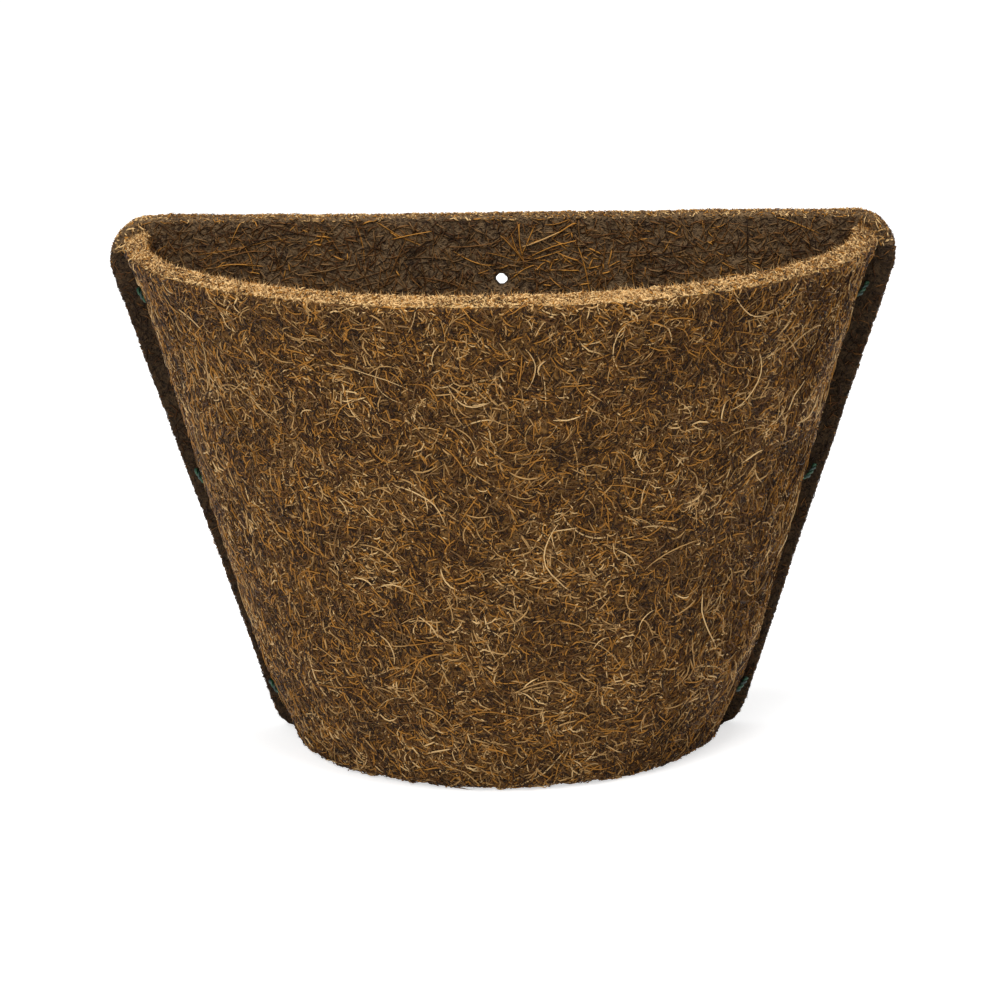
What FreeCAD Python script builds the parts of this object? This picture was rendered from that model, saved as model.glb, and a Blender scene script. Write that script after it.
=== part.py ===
import FreeCAD, Part
import math
import os

# Wall planter of coir: a flat back panel and a half-round moulded shell, tied together with twine.
# Millimetres. +X is right as seen from the room, +Y points into the wall, +Z is up.
# The origin is the centre of the hanging hole, on the panel's back face, which lies on the wall.

# --- front shell: wall and base moulded in one, half round in plan ---
rim_radius = 143.5            # outer edge of the rim
lip_height = 14.0             # the top of the wall flares out into a lip
lip_foot_radius = 137.3       # outer radius where the lip starts
wall_foot_radius = 98.0       # outer radius where the wall starts to draw in to the base
draw_in_height = 40.0         # from the base up to that place
base_radius = 81.5            # outer radius of the base
shell_height = 195.0          # base to the rim's outer edge
wall_thickness = 10.0
base_thickness = 10.0
lip_bend_radius = 45.0        # outer bend where the wall turns out into the lip
draw_in_bend_radius = 120.0   # outer bend where the wall turns in to the base
base_edge_radius = 4.0        # outer edge round the base
floor_corner_radius = 6.0     # inner corner between wall and base
rim_edge_radius = 1.5         # both edges of the cut rim

# --- back panel: a flat sheet, narrower at the foot ---
panel_margin_top = 12.7       # each side at the top, past the rim, before the corners are rounded
panel_margin_foot = 7.5       # each side at the foot, past the base
panel_thickness = 8.0
panel_above_rim = 8.5         # how far the panel stands above the rim's outer edge
panel_top_corner_radius = 16.5
panel_foot_corner_radius = 11.0

# --- hanging hole ---
hang_hole_radius = 2.5
hang_hole_below_top = 25.5

# --- twine ties ---
twine_diameter = 1.8
tie_clearance = 0.2           # round the twine in its holes and grooves
tie_stand_off = 0.35          # between the twine and the faces that it crosses
twine_bend_radius = 1.4       # centre line, where a tight tie turns round an edge
knot_radius = 2.2
tail_length = 7.0             # each free end, from the knot's centre
tie_slant = 3.5               # the panel holes lie this much above the hole through the wall
wall_hole_inset = 5.0         # from the panel's front face to the hole through the wall or base
panel_hole_outset = 3.2       # panel holes outside the pot, from the shell's outer face
panel_hole_inset = 5.0        # panel holes inside the pot, from the shell's inner face
upper_tie_below_rim = 21.0
middle_tie_above_base = 103.0
lower_tie_above_base = 18.0
base_tie_spacing = 72.0       # between the two ties along the base

# --- places that follow from the sizes ---
top_z = hang_hole_below_top
rim_z = top_z - panel_above_rim
foot_z = rim_z - shell_height
floor_z = foot_z + base_thickness
front_y = -panel_thickness    # the panel's front face, where the shell sits
tie_hole_radius = twine_diameter / 2 + tie_clearance
groove_depth = 2 * tie_hole_radius
twine_off_face = twine_diameter / 2 + tie_stand_off
drill_overrun = 1.0

UP = FreeCAD.Vector(0, 0, 1)
INTO_WALL = FreeCAD.Vector(0, 1, 0)


def point(x, y, z):
    return FreeCAD.Vector(x, y, z)


def unit(vector):
    return vector * (1.0 / vector.Length)


def rounded_edges(corners, radii, closed):
    """Straight runs through the corners, joined by tangent arcs of the given radii (0 is sharp)."""
    count = len(corners)
    starts, ends, arcs = [], [], []
    for i, (corner, radius) in enumerate(zip(corners, radii)):
        if radius == 0 or (not closed and i in (0, count - 1)):
            starts.append(corner)
            ends.append(corner)
            arcs.append(None)
            continue
        back = unit(corners[i - 1] - corner)
        ahead = unit(corners[(i + 1) % count] - corner)
        half = back.getAngle(ahead) / 2
        tangent = radius / math.tan(half)
        to_centre = unit(back + ahead)
        middle = corner + to_centre * (radius / math.sin(half) - radius)
        starts.append(corner + back * tangent)
        ends.append(corner + ahead * tangent)
        arcs.append(Part.Arc(starts[-1], middle, ends[-1]).toShape())
    edges = []
    for i in range(count):
        if arcs[i]:
            edges.append(arcs[i])
        if closed or i < count - 1:
            edges.append(Part.makeLine(ends[i], starts[(i + 1) % count]))
    return edges


def tube(corners, radius, bend_radius):
    """A round cord along an open route through the corners."""
    route = Part.Wire(rounded_edges(corners, [bend_radius] * len(corners), closed=False))
    section = Part.Face(Part.Wire(Part.makeCircle(radius, corners[0], corners[1] - corners[0])))
    return route.makePipe(section), route.Length


def drill(start, end):
    """The cutter of one twine hole between two points."""
    run = end - start
    return Part.makeCylinder(tie_hole_radius, run.Length, start, run)


# --- the shell's wall, as lines in the plane of radius and height ---
def offset_line(low, high, distance):
    """The line through two points, moved towards the pot's axis by a distance square to itself."""
    along = unit(high - low)
    inward = point(-along.z, 0, along.x)
    return low + inward * distance, high + inward * distance


def meet(line_a, line_b):
    """Where two lines of the radius and height plane cross."""
    a, b = line_a
    c, d = line_b
    ab, cd = b - a, d - c
    share = ((c.x - a.x) * cd.z - (c.z - a.z) * cd.x) / (ab.x * cd.z - ab.z * cd.x)
    return a + ab * share


base_corner = point(base_radius, 0, foot_z)
wall_foot = point(wall_foot_radius, 0, foot_z + draw_in_height)
lip_foot = point(lip_foot_radius, 0, rim_z - lip_height)
rim_outer = point(rim_radius, 0, rim_z)
floor_line = (point(0, 0, floor_z), point(base_radius, 0, floor_z))
inner_draw_in = offset_line(base_corner, wall_foot, wall_thickness)
inner_wall = offset_line(wall_foot, lip_foot, wall_thickness)
inner_lip = offset_line(lip_foot, rim_outer, wall_thickness)
rim_inner = inner_lip[1]
OUTER_WALL = [base_corner, wall_foot, lip_foot, rim_outer]
INNER_WALL = [meet(inner_draw_in, floor_line), meet(inner_draw_in, inner_wall),
              meet(inner_wall, inner_lip), rim_inner]


def radius_at(wall, z):
    """The radius of the outer or inner wall at a height."""
    for low, high in zip(wall, wall[1:]):
        if z <= high.z:
            break
    return low.x + (high.x - low.x) * (z - low.z) / (high.z - low.z)


# --- the twine ties ---
class Tie:
    """One loop of twine with a knot inside the pot, and the cutters of its holes and grooves."""

    def __init__(self, loop, cutters, tail_directions):
        self.loop = loop
        self.cutters = cutters
        self.tail_directions = tail_directions

    def solid(self, name):
        knot = (self.loop[0] + self.loop[-1]) * 0.5
        twine_radius = twine_diameter / 2
        cord, length = tube([knot] + self.loop + [knot], twine_radius, twine_bend_radius)
        expected = math.pi * twine_radius ** 2 * length
        print("%s: twine %.1f mm round, volume %.2f of %.2f mm3, bends %.1f mm"
              % (name, length, cord.Volume, expected, twine_bend_radius))
        tails = [Part.makeCylinder(twine_radius, tail_length, knot, direction)
                 for direction in self.tail_directions]
        return cord.multiFuse([Part.makeSphere(knot_radius, knot)] + tails)


def side_tie(side, z):
    """A tie across the seam at one side: through the wall, and through the panel beyond it."""
    wall_z = z - tie_slant / 2
    panel_z = z + tie_slant / 2
    wall_y = front_y - wall_hole_inset
    wall_out = side * (radius_at(OUTER_WALL, wall_z) + twine_off_face)
    wall_in = side * (radius_at(INNER_WALL, wall_z) - twine_off_face)
    panel_out = side * (radius_at(OUTER_WALL, panel_z) + panel_hole_outset)
    panel_in = side * (radius_at(INNER_WALL, panel_z) - panel_hole_inset)
    face_y = front_y - twine_off_face
    groove_y = -groove_depth / 2
    loop = [point(wall_in, wall_y, wall_z), point(wall_out, wall_y, wall_z),
            point(panel_out, face_y, panel_z), point(panel_out, groove_y, panel_z),
            point(panel_in, groove_y, panel_z), point(panel_in, face_y, panel_z)]
    groove = Part.makeBox(abs(panel_out - panel_in), groove_depth + drill_overrun, 2 * tie_hole_radius,
                          point(min(panel_in, panel_out), -groove_depth, panel_z - tie_hole_radius))
    cutters = [drill(loop[0], loop[1]), groove]
    for x in (panel_out, panel_in):
        cutters.append(drill(point(x, front_y - drill_overrun, panel_z),
                             point(x, drill_overrun, panel_z)))
    tail_directions = [point(-side, -0.6, 0.5), point(-side, -0.9, -0.4)]
    return Tie(loop, cutters, tail_directions)


def base_tie(side):
    """A tie across the seam along the base: through the base, and round the panel's foot."""
    x = side * base_tie_spacing / 2
    base_y = front_y - wall_hole_inset
    face_y = front_y - twine_off_face
    groove_y = -groove_depth / 2
    groove_z = foot_z + groove_depth / 2
    panel_z = floor_z + panel_hole_inset
    loop = [point(x, base_y, floor_z + twine_off_face), point(x, base_y, groove_z),
            point(x, groove_y, groove_z), point(x, groove_y, panel_z), point(x, face_y, panel_z)]
    width = 2 * tie_hole_radius
    under = Part.makeBox(width, drill_overrun - base_y, groove_depth + drill_overrun,
                         point(x - tie_hole_radius, base_y, foot_z - drill_overrun))
    behind = Part.makeBox(width, groove_depth + drill_overrun, panel_z - foot_z + drill_overrun,
                          point(x - tie_hole_radius, -groove_depth, foot_z - drill_overrun))
    cutters = [under, behind,
               drill(point(x, base_y, foot_z - drill_overrun), loop[0]),
               drill(loop[-1], point(x, drill_overrun, panel_z))]
    tail_directions = [point(side, -1, 0.5), point(-side, -1, 0.3)]
    return Tie(loop, cutters, tail_directions)


def make_ties():
    """Three ties down each side and two along the base, by node name."""
    heights = {"upper": rim_z - upper_tie_below_rim, "middle": foot_z + middle_tie_above_base,
               "lower": foot_z + lower_tie_above_base}
    ties = {}
    for side_name, side in (("left", -1), ("right", 1)):
        for level, z in heights.items():
            ties["tie_%s_%s" % (side_name, level)] = side_tie(side, z)
        ties["tie_base_%s" % side_name] = base_tie(side)
    return ties


def make_front_shell(ties):
    """Half a turn of the wall's section, with the holes that the ties pass through."""
    corners = [point(0, 0, foot_z)] + OUTER_WALL + INNER_WALL[::-1] + [point(0, 0, floor_z)]
    radii = [0, base_edge_radius, draw_in_bend_radius, lip_bend_radius, rim_edge_radius,
             rim_edge_radius, lip_bend_radius + wall_thickness,
             draw_in_bend_radius - wall_thickness, floor_corner_radius, 0]
    section = Part.Face(Part.Wire(rounded_edges(corners, radii, closed=True)))
    section.translate(point(0, front_y, 0))
    shell = section.revolve(point(0, front_y, 0), UP, -180)
    for tie in ties.values():
        for cutter in tie.cutters:
            shell = shell.cut(cutter)
    return shell


def make_back_panel(ties):
    """A flat sheet with rounded corners, the hanging hole and the ties' holes and grooves."""
    top = rim_radius + panel_margin_top
    foot = base_radius + panel_margin_foot
    corners = [point(-top, front_y, top_z), point(top, front_y, top_z),
               point(foot, front_y, foot_z), point(-foot, front_y, foot_z)]
    radii = [panel_top_corner_radius] * 2 + [panel_foot_corner_radius] * 2
    outline = Part.Face(Part.Wire(rounded_edges(corners, radii, closed=True)))
    panel = outline.extrude(INTO_WALL * panel_thickness)
    hole_length = panel_thickness + 2 * drill_overrun
    panel = panel.cut(Part.makeCylinder(hang_hole_radius, hole_length,
                                        point(0, front_y - drill_overrun, 0), INTO_WALL))
    for tie in ties.values():
        for cutter in tie.cutters:
            panel = panel.cut(cutter)
    return panel


def main():
    ties = make_ties()
    pieces = {"back_panel": make_back_panel(ties), "front_shell": make_front_shell(ties)}
    for name, tie in ties.items():
        pieces[name] = tie.solid(name)
    os.makedirs("parts", exist_ok=True)
    for name, shape in pieces.items():
        if shape.Volume < 0:
            shape.reverse()
        shape = shape.removeSplitter()
        shape.exportStep("parts/%s.step" % name)
        box = shape.optimalBoundingBox()
        print("%-18s solids %d valid %s volume %10.1f  x %.1f..%.1f  y %.1f..%.1f  z %.1f..%.1f"
              % (name, len(shape.Solids), shape.isValid(), shape.Volume,
                 box.XMin, box.XMax, box.YMin, box.YMax, box.ZMin, box.ZMax))


main()
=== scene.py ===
# %% [markdown]
# # A coir wall planter
# A half-round pot and a flat back panel, both of coconut fibre felted with latex, are tied together with green
# twine. The measured model comes first: it fixes every size, and the rest of the file only dresses it.

# %% Load the measured model
import math

import bmesh
import bpy
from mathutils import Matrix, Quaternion, Vector


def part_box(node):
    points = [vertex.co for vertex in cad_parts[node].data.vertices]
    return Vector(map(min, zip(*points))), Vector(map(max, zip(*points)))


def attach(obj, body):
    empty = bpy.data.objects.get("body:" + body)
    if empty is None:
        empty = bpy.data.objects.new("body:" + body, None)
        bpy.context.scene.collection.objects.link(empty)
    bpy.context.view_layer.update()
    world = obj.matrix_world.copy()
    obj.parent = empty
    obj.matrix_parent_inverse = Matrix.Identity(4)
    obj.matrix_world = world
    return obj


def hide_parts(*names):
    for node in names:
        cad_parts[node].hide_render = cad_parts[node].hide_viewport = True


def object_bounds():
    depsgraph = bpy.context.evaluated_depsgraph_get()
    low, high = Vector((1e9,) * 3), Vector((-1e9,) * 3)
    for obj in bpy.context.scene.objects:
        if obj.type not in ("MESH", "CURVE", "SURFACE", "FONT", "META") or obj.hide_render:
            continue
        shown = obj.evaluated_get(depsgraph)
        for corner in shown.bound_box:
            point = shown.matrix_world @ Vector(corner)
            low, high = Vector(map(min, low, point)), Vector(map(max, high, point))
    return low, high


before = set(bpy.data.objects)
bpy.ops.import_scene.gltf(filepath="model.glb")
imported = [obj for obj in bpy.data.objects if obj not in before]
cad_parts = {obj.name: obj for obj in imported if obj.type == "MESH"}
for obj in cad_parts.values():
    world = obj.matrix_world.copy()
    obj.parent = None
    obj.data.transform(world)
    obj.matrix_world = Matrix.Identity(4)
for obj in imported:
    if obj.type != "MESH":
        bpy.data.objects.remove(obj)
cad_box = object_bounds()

MM = 0.001
panel_low, panel_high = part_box("back_panel")
shell_low, shell_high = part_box("front_shell")
front_y = panel_low.y
foot_z = panel_low.z
shell_top_z = shell_high.z
print("panel", panel_low, panel_high, "shell", shell_low, shell_high)

# %% [markdown]
# ## Small tools
# Every node tree below is built with `add`. It makes one node, sets its options, and fills each input with a value
# or with a link. Colours are written as they look on a screen, and `colour` turns them into the linear values that
# the renderer works with. A value that is the same all over a piece is set straight on its shader.

# %% Helpers for nodes, colours, materials and objects
MATH, VECTOR_MATH = "ShaderNodeMath", "ShaderNodeVectorMath"    # the kinds of node that are used most


def add(tree, kind, inputs=None, **settings):
    """Adds a node. Each input is a value, a socket, or a node whose first output in use feeds it."""
    node = tree.nodes.new(kind)
    for name, value in settings.items():
        setattr(node, name, value)
    for key, value in (inputs or {}).items():
        if isinstance(value, bpy.types.Node):
            value = next(socket for socket in value.outputs if socket.enabled)
        if isinstance(value, bpy.types.NodeSocket):
            tree.links.new(value, node.inputs[key])
        else:
            node.inputs[key].default_value = value
    return node


def colour(hex_code):
    """Linear RGBA of an sRGB hex code."""
    channels = [int(hex_code[i:i + 2], 16) / 255 for i in (1, 3, 5)]
    linear = [c / 12.92 if c <= 0.04045 else ((c + 0.055) / 1.055) ** 2.4 for c in channels]
    return (*linear, 1.0)


def new_material(name, finish):
    """A node material, and its Principled shader with the finish set on its own sockets."""
    material = bpy.data.materials.new(name)
    material.use_nodes = True
    shader = material.node_tree.nodes["Principled BSDF"]
    for title, value in finish.items():
        shader.inputs[title].default_value = value
    return material, shader


def new_object(name, data):
    """An object in the scene that holds a mesh, a curve, a light or a camera."""
    made = bpy.data.objects.new(name, data)
    bpy.context.scene.collection.objects.link(made)
    return made


# %% [markdown]
# ## The felt
# Coir is the husk fibre of the coconut. It is carded, laid criss-cross, sprayed with latex and pressed, so between
# the strands the eye sees a dark mat with no gloss. The strands that stand out are real geometry further down. The
# felt under them needs the colour and depth of more strands than a mesh can hold. A noise crosses its middle value
# along thin curved lines, which look like curly fibres, so each layer of fibres is one such noise: the fibre's
# width and the size of its curls set its scale. Every layer covers the one below, as laid fibres do.

# %% The felts' material
FIBRE_WIDTH = 0.4 * MM
FADE = 0.6           # of a fibre's width, from its middle line to where it ends
CURL_SIZE = 2.1 * MM
LAYER_GAP = 3.7      # along the noise's W, so that no two layers curl alike
LAYER_RISE = 0.25    # of the relief, from each layer to the next
RELIEF = 0.5 * MM


def coir_felt(name, pit, fibres, curl=CURL_SIZE):
    """Pressed coconut fibre: dielectric, fully rough, layers of curly fibres over dark pits."""
    material, shader = new_material(name, {"Roughness": 0.95, "IOR": 1.5, "Specular IOR Level": 0.15})
    tree = material.node_tree
    place = add(tree, "ShaderNodeTexCoord").outputs["Object"]
    shown, height = colour(pit), 0.0
    for level, hex_code in enumerate(fibres, start=1):
        noise = add(tree, "ShaderNodeTexNoise", {"Vector": place, "W": LAYER_GAP * level, "Scale": 1 / curl,
                                                 "Detail": 1.0, "Distortion": 0.4}, noise_dimensions="4D")
        distance = add(tree, MATH, {0: noise, 1: 0.5}, operation="SUBTRACT")
        aside = add(tree, MATH, {0: distance}, operation="ABSOLUTE")
        on_fibre = add(tree, "ShaderNodeMapRange",
                       {"Value": aside, "From Max": FADE * FIBRE_WIDTH / curl, "To Min": 1.0, "To Max": 0.0},
                       interpolation_type="SMOOTHSTEP")
        shown = add(tree, "ShaderNodeMix", {0: on_fibre, 6: shown, 7: colour(hex_code)}, data_type="RGBA").outputs[2]
        raised = add(tree, MATH, {0: on_fibre, 1: LAYER_RISE * level}, operation="MULTIPLY")
        height = add(tree, MATH, {0: height, 1: raised}, operation="MAXIMUM").outputs[0]
    bump = add(tree, "ShaderNodeBump", {"Height": height, "Strength": 1.0, "Distance": RELIEF})
    tree.links.new(shown, shader.inputs["Base Color"])
    tree.links.new(bump.outputs["Normal"], shader.inputs["Normal"])
    print(name, "with", len(fibres), "layers of fibres")
    return material


shell_felt_material = coir_felt("pressed_coir_felt", "#1b0f05", ("#331e0b", "#4a2f14", "#634421", "#7d5b31"))
panel_felt_material = coir_felt("dark_coir_felt", "#2b1f16", ("#413124", "#54422f", "#645039", "#735c41"))
# Near-black felt for the panel's margins, side edges and underside: painted shade
shade_dark_felt_material = coir_felt("painted_shade_coir_felt", "#1b150f", ("#292017", "#33281c", "#3d2f20", "#483725"))
cut_felt_material = coir_felt("cut_coir_felt", "#4b3319", ("#8a6534", "#a9834b", "#c5a065", "#dcbb82"),
                              curl=1.4 * MM)

# %% [markdown]
# ## The strands' materials
# One husk gives strands from near black to straw, because ripe fibre is brown and green fibre is pale, and latex
# darkens what it wets. Each strand keeps one shade along its length and is half a millimetre thick, so the variety
# comes from many strands of several shades and not from a pattern on each one. Dry coir is rough, with a slight
# sheen where light runs along the fibre.

# %% Strand shades, dark to pale
STRAND_SHADES = {"coir_strand_black": "#2a1808", "coir_strand_umber": "#4a2c0f", "coir_strand_chestnut": "#6c471f",
                 "coir_strand_brown": "#755632", "coir_strand_golden": "#ac7630", "coir_strand_tan": "#b58d57",
                 "coir_strand_straw": "#dcb67d"}


def strand_material(name, hex_code):
    """One shade of dry coconut fibre."""
    return new_material(name, {"Base Color": colour(hex_code), "Roughness": 0.6, "IOR": 1.5,
                               "Specular IOR Level": 0.2})[0]


strand_shades = [strand_material(name, code) for name, code in STRAND_SHADES.items()]
print(len(strand_shades), "strand shades")

# %% [markdown]
# ## The felt bodies
# The pressed pieces are never quite true: the mould leaves soft lumps a few centimetres across, and the mat itself is
# uneven from strand to strand. A copy of each measured solid is remeshed into even small faces, and a Geometry Nodes
# tree then moves its skin in and out by a noise of those two sizes. The skin starts a little inside the measured
# surface, because the strands laid on it later make up the thickness. The pot's coat is the thicker one. The foot is
# the most uneven, because the mat is folded and torn there, but it still stands on the floor.

# %% Helpers for Geometry Nodes
FAR_BELOW = -9.0    # metres, lower than anything here
WITHOUT_Y = (1.0, 0.0, 1.0)


def start_tree(name, sizes, others):
    """A Geometry Nodes tree with a geometry input, a named input for each size, and others of some kind."""
    tree = bpy.data.node_groups.new(name, "GeometryNodeTree")
    tree.interface.new_socket("Geometry", in_out="INPUT", socket_type="NodeSocketGeometry")
    for title, value in sizes.items():
        tree.interface.new_socket(title, in_out="INPUT", socket_type="NodeSocketFloat").default_value = value
    for title, kind in others.items():
        tree.interface.new_socket(title, in_out="INPUT", socket_type="NodeSocket" + kind)
    tree.interface.new_socket("Geometry", in_out="OUTPUT", socket_type="NodeSocketGeometry")
    return tree, add(tree, "NodeGroupInput").outputs


def stood_on_floor(tree, given, places):
    """Lifts the places that are lower than the tree's Floor up to it."""
    lowest = add(tree, "ShaderNodeCombineXYZ", {"X": FAR_BELOW, "Y": FAR_BELOW, "Z": given["Floor"]})
    return add(tree, VECTOR_MATH, {0: places, 1: lowest}, operation="MAXIMUM")


def grow(source, tree, values, name):
    """What a tree makes of an object, as a plain object of its own. The tree's inputs are set by identifier."""
    modifier = source.modifiers.new(tree.name, "NODES")
    modifier.node_group = tree
    for item in tree.interface.items_tree:
        if item.item_type == "SOCKET" and item.in_out == "INPUT" and item.name in values:
            modifier[item.identifier] = values[item.name]
    evaluated = source.evaluated_get(bpy.context.evaluated_depsgraph_get())
    mesh = bpy.data.meshes.new_from_object(evaluated)
    mesh.name = name
    made = new_object(name, mesh)
    bpy.data.objects.remove(source)
    return made


def triangles(piece):
    return sum(len(face.vertices) - 2 for face in piece.data.polygons)


# %% A tree that makes a moulded skin uneven
SEAM_BITE = 0.9 * MM


def uneven_tree():
    """Moves a skin in and out by two noises, stands it on the floor and pulls its seam tight."""
    tree, given = start_tree("uneven_felt", {"Lump size": 45 * MM, "Lump height": 1.6 * MM, "Mat size": 5 * MM,
                                             "Mat height": 0.9 * MM, "Foot height": 3.5 * MM, "Foot band": 14 * MM,
                                             "Floor": foot_z + 0.02 * MM, "Seam": 1.0, "Depth": 0.5 * MM},
                             {"Material": "Material"})
    here = add(tree, "GeometryNodeInputPosition")
    up = add(tree, "ShaderNodeSeparateXYZ", {0: here})
    band_top = add(tree, MATH, {0: given["Floor"], 1: given["Foot band"]}, operation="ADD")
    mat_height = add(tree, "ShaderNodeMapRange",
                     {"Value": up.outputs["Z"], "From Min": given["Floor"], "From Max": band_top,
                      "To Min": given["Foot height"], "To Max": given["Mat height"]})
    move = add(tree, MATH, {0: given["Depth"], 1: -1.0}, operation="MULTIPLY")
    for kind, detail, height in (("Lump", 1.0, given["Lump height"]), ("Mat", 3.0, mat_height)):
        scale = add(tree, MATH, {0: 1.0, 1: given[kind + " size"]}, operation="DIVIDE")
        noise = add(tree, "ShaderNodeTexNoise", {"Scale": scale, "Detail": detail})
        centred = add(tree, MATH, {0: noise, 1: 0.5}, operation="SUBTRACT")
        move = add(tree, MATH, {0: centred, 1: height, 2: move}, operation="MULTIPLY_ADD")
    uneven = add(tree, VECTOR_MATH, {0: add(tree, "GeometryNodeInputNormal"), 1: move, 2: here},
                 operation="MULTIPLY_ADD")
    standing = stood_on_floor(tree, given, uneven)

    # At the seam the skin doesn't start inside: the twine pulls it into the other piece's felt
    seam_start = add(tree, MATH, {0: given["Seam"], 1: SEAM_BITE}, operation="SUBTRACT")
    at_seam = add(tree, MATH, {0: up.outputs["Y"], 1: seam_start}, operation="GREATER_THAN")
    pulled_in = add(tree, MATH, {0: given["Seam"], 1: SEAM_BITE}, operation="ADD")
    other_felt = add(tree, "ShaderNodeCombineXYZ", {"Y": pulled_in})
    tight = add(tree, VECTOR_MATH, {0: standing, 1: WITHOUT_Y, 2: other_felt}, operation="MULTIPLY_ADD")
    closed = add(tree, "GeometryNodeSwitch", {0: at_seam, 1: standing, 2: tight}, input_type="VECTOR")
    moved = add(tree, "GeometryNodeSetPosition", {"Geometry": given["Geometry"], "Position": closed})
    real = add(tree, "GeometryNodeRealizeInstances", {"Geometry": moved})
    painted = add(tree, "GeometryNodeSetMaterial", {"Geometry": real, "Material": given["Material"]})
    add(tree, "NodeGroupOutput", {0: painted})
    return tree


uneven_felt = uneven_tree()
print(uneven_felt.name, "has", len(uneven_felt.nodes), "nodes")

# %% The two felt bodies
MERGE_DISTANCE = 0.001 * MM


def felt_body(node, name, voxel, sizes, materials):
    """An evenly meshed, uneven copy of a measured solid, with its skin some way inside the solid's."""
    mould = new_object(name + "_mould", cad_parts[node].data.copy())
    merged = bmesh.new()
    merged.from_mesh(mould.data)
    bmesh.ops.remove_doubles(merged, verts=merged.verts, dist=MERGE_DISTANCE)
    merged.to_mesh(mould.data)
    merged.free()
    remesh = mould.modifiers.new("even faces", "REMESH")
    remesh.mode = "VOXEL"
    remesh.voxel_size = voxel
    remesh.use_smooth_shade = True
    felt = grow(mould, uneven_felt, sizes | {"Material": materials[0]}, name)
    felt.data.materials.clear()
    for material in materials:
        felt.data.materials.append(material)
    print(name, triangles(felt), "triangles")
    return felt


shell_felt = felt_body("front_shell", "shell_felt", 1.9 * MM, {"Depth": 0.9 * MM, "Seam": front_y},
                       (shell_felt_material, cut_felt_material))
panel_felt = felt_body("back_panel", "panel_felt", 1.6 * MM, {"Depth": 0.3 * MM},
                       (panel_felt_material, shade_dark_felt_material))

# %% [markdown]
# ## Where each coat of strands grows
# The outside, the inside and the cut faces of the felt look different, so each is picked out by the way its faces
# point. The pot's rim is freshly cut and shows pale fibre ends. The panel's margins, outside the pot, are nearly
# black: painted shade, where the pot keeps the light off them. Its side edges and underside get the same dark felt,
# painted shade too. Its top strip frays to gold.

# %% The pot's outline
WALL = ((81.5, foot_z / MM), (98.0, foot_z / MM + 40), (137.3, 3.0), (143.5, 17.0))


def wall_radius(z):
    """The pot's outer radius at a height, both in millimetres. It stays the same above the rim."""
    z = min(z, WALL[-1][1])
    for (low_r, low_z), (high_r, high_z) in zip(WALL, WALL[1:]):
        if z <= high_z:
            break
    return low_r + (high_r - low_r) * (z - low_z) / (high_z - low_z)


for height in (17, 3, -75, -178):
    print("the pot's radius at", height, "mm:", round(wall_radius(height), 1), "mm")

# %% Tell the sides apart
RIM_REACH = 9 * MM
LIP_HEIGHT = 7 * MM
SEAM_REACH = 3 * MM
UNDERSIDE_REACH = 5 * MM
FOOT_HEIGHT = 6 * MM
HOLE_REACH = 6 * MM
FRINGE_WIDTH = 3 * MM
CORNER_START = 135 * MM
MARGIN_UNDER_POT = 2 * MM
TUFT = ((-8 * MM, 2 * MM), (30 * MM, 22 * MM))

# A face looks along an axis when at least this much of its normal does
LOOKS_UP, EDGE_LOOKS_UP, LOOKS_BACK, LOOKS_OUT, LEVEL = 0.6, 0.5, 0.7, 0.25, 0.8


def shell_side(face):
    """Which part of the shell a face is on."""
    centre, normal = face.center, face.normal
    outward = Vector((centre.x, centre.y - front_y, 0)).normalized()
    if centre.z > shell_top_z - RIM_REACH and normal.z > LOOKS_UP:
        return "rim"
    if normal.y > LOOKS_BACK and centre.y > front_y - SEAM_REACH:
        return "seam"
    underside = normal.z < -LOOKS_UP and centre.z < foot_z + UNDERSIDE_REACH
    return "outside" if underside or normal.dot(outward) > LOOKS_OUT else "inside"


def panel_side(face):
    """Which part of the panel a face is on."""
    x, z, normal = abs(face.center.x), face.center.z, face.normal
    beside_rim = z > shell_top_z - RIM_REACH
    if normal.y < -LOOKS_BACK:
        if z > panel_high.z - FRINGE_WIDTH or (beside_rim and x > CORNER_START):
            return "fringe"
        beside_pot = x > wall_radius(z / MM) * MM - MARGIN_UNDER_POT
        return "margin" if beside_pot and z < shell_top_z - RIM_REACH else "front"
    if normal.y > LOOKS_BACK:
        return "back"
    if math.hypot(x, z) < HOLE_REACH:
        return "hole"
    if normal.z < -EDGE_LOOKS_UP:
        return "foot"
    return "top" if normal.z > EDGE_LOOKS_UP else "edge"


def fray_side(face):
    """The foot, which frays on what it stands on, and the lip, where the knife left pale ends."""
    if abs(face.normal.z) < LEVEL and shell_side(face) == "outside":
        if face.center.z < foot_z + FOOT_HEIGHT:
            return "foot"
        if face.center.z > shell_top_z - LIP_HEIGHT:
            return "lip"
    return "rest"


def tuft_side(face):
    """A patch round the hanging hole, where long golden strands lie."""
    (left, low), (right, high) = TUFT
    inside_patch = left < face.center.x < right and low < face.center.z < high
    return "tuft" if inside_patch and face.normal.y < -LOOKS_BACK else "rest"


# %% Sort the faces
def sort_faces(felt, side_of, second=()):
    """One sheet of faces for each side of a felt body. The sides named in second get its second felt."""
    sides = {}
    for face in felt.data.polygons:
        side = side_of(face)
        sides.setdefault(side, set()).add(face.index)
        face.material_index = 1 if side in second else 0
    sheets = {}
    for side, chosen in sides.items():
        sheet = bmesh.new()
        sheet.from_mesh(felt.data)
        spare = [face for face in sheet.faces if face.index not in chosen]
        bmesh.ops.delete(sheet, geom=spare, context="FACES")
        mesh = bpy.data.meshes.new(side)
        sheet.to_mesh(mesh)
        sheet.free()
        sheets[side] = mesh
        print(felt.name, side, "%.0f cm2" % (sum(face.area for face in mesh.polygons) * 1e4))
    return sheets


frayed = sort_faces(shell_felt, fray_side)
tuft = sort_faces(panel_felt, tuft_side)["tuft"]
shell_sheets = sort_faces(shell_felt, shell_side, second={"rim"})
# The margins, side edges and underside get the near-black felt, which is painted shade
panel_sheets = sort_faces(panel_felt, panel_side, second={"edge", "margin", "foot"})

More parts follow.
